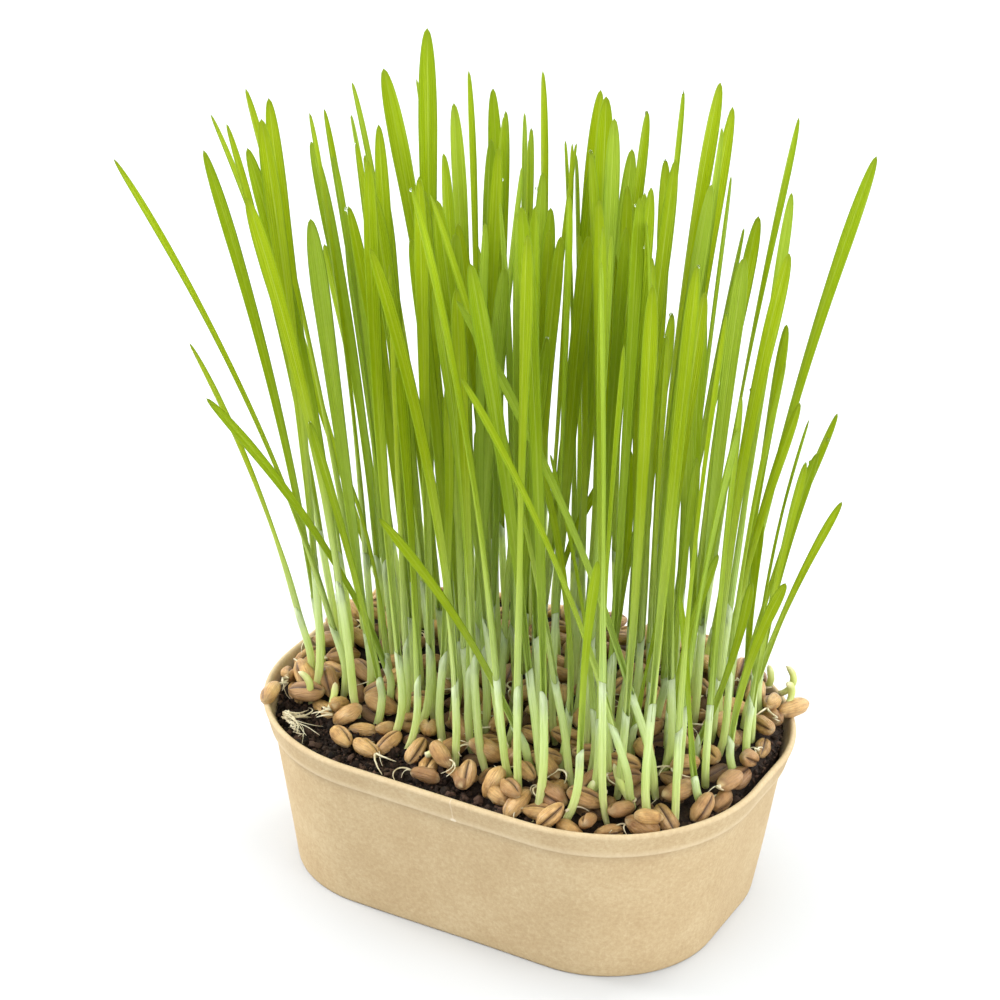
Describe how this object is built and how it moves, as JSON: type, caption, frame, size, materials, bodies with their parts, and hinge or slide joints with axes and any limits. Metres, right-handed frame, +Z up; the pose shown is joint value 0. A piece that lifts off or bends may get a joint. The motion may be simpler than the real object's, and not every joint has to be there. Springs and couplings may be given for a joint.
{
  "type": "wheatgrass tray",
  "caption": "Rounded kraft-paper tray filled with soil, with a heaped bed of sprouted wheat grains and a dense stand of upright wheatgrass shoots.",
  "frame": {"origin": "centre of the tray's flat underside", "axes": "+X along the tray's length, to the right when seen from the front; -Y is the front, where a strip of soil is bare; +Z up"},
  "size_m": [0.1315, 0.0792, 0.165],
  "materials": {
    "kraft_paper": "matt, with fine paper fibres",
    "soil": "rough, moist and granular",
    "grain": "satin husk with a dark crease",
    "leaf": "satin, finely veined"
  },
  "bodies": {
    "root": {"tray": "kraft_paper", "soil": "soil", "grain_bed": "grain", "shoots_01": "leaf", "shoots_02": "leaf", "shoots_03": "leaf", "shoots_04": "leaf", "shoots_05": "leaf", "shoots_06": "leaf", "shoots_07": "leaf", "shoots_08": "leaf", "shoots_09": "leaf", "shoots_10": "leaf", "shoots_11": "leaf", "shoots_12": "leaf", "shoots_13": "leaf", "shoots_14": "leaf", "shoots_15": "leaf", "shoots_16": "leaf", "shoots_17": "leaf", "shoots_18": "leaf", "shoots_19": "leaf", "shoots_20": "leaf", "shoots_21": "leaf", "shoots_22": "leaf", "shoots_23": "leaf", "shoots_24": "leaf", "shoots_25": "leaf", "shoots_26": "leaf", "shoots_27": "leaf", "shoots_28": "leaf"}
  },
  "joints": []
}
